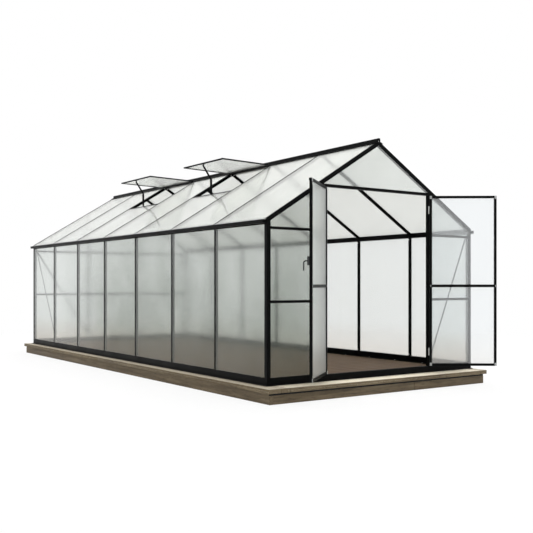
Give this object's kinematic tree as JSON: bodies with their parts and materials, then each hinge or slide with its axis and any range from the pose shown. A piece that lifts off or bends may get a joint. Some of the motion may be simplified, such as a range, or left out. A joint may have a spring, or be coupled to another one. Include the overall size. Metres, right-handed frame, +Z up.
{
  "type": "polycarbonate greenhouse",
  "caption": "Walk-in greenhouse with a black aluminium frame, twin-wall sheets, outward double doors, roof vents and a low timber deck.",
  "frame": {"origin": "on the ground under the ridge, at the middle of the house's length, on the underside of the middle joist", "axes": "+X across the gable towards the right wall, +Y along the ridge towards the rear gable, +Z up; the double doors are at -Y and the roof vents on the -X slope"},
  "size_m": [3.15, 7.61, 2.7575],
  "materials": {
    "frame_black": "satin powder coat",
    "twin_wall": "translucent twin-wall sheet",
    "deck_timber": "weathered sawn timber",
    "floor_timber": "oiled boards",
    "hinge_steel": "zinc plated",
    "handle_black": "satin black"
  },
  "bodies": {
    "house": {"deck_bearers_long": "deck_timber", "deck_bearers_cross": "deck_timber", "deck_joists": "deck_timber", "deck_capping_long": "deck_timber", "deck_capping_cross": "deck_timber", "deck_floor": "floor_timber", "base_rails_long": "frame_black", "base_rails_cross": "frame_black", "door_threshold": "frame_black", "corner_posts": "frame_black", "wall_bars": "frame_black", "eaves_beams": "frame_black", "gutters": "frame_black", "ridge_bar": "frame_black", "roof_bars": "frame_black", "gable_rafters": "frame_black", "door_posts": "frame_black", "door_head": "frame_black", "front_gable_rails": "frame_black", "rear_gable_posts": "frame_black", "rear_gable_rails": "frame_black", "braces": "frame_black", "wall_sheets": "twin_wall", "roof_sheets": "twin_wall", "front_gable_sheets": "twin_wall", "rear_gable_sheets": "twin_wall", "vent_sills": "frame_black", "vent_sash_sides": "frame_black", "vent_sash_ends": "frame_black", "vent_sheets": "twin_wall", "vent_openers": "handle_black", "door_post_hinges": "hinge_steel"},
    "left_door": {"left_door_stiles": "frame_black", "left_door_rails": "frame_black", "left_door_sheets": "twin_wall", "left_door_corners": "hinge_steel", "left_door_hinges": "hinge_steel", "left_door_lock": "handle_black"},
    "right_door": {"right_door_stiles": "frame_black", "right_door_rails": "frame_black", "right_door_sheets": "twin_wall", "right_door_corners": "hinge_steel", "right_door_hinges": "hinge_steel"},
    "lever": {"door_lever": "handle_black"}
  },
  "joints": [
    {"name": "left_door_hinge", "type": "hinge", "parent": "house", "child": "left_door", "pos_m": [-0.7665, -3.508, 0.232], "axis": [0, 0, 1], "range_deg": [-20, 140]},
    {"name": "right_door_hinge", "type": "hinge", "parent": "house", "child": "right_door", "pos_m": [0.7665, -3.508, 0.232], "axis": [0, 0, -1], "range_deg": [-16, 144]},
    {"name": "lever_turn", "type": "hinge", "parent": "left_door", "child": "lever", "pos_m": [-1.34103, -3.99009, 1.386], "axis": [-0.6428, 0.766, 0], "range_deg": [-90, 0]}
  ]
}
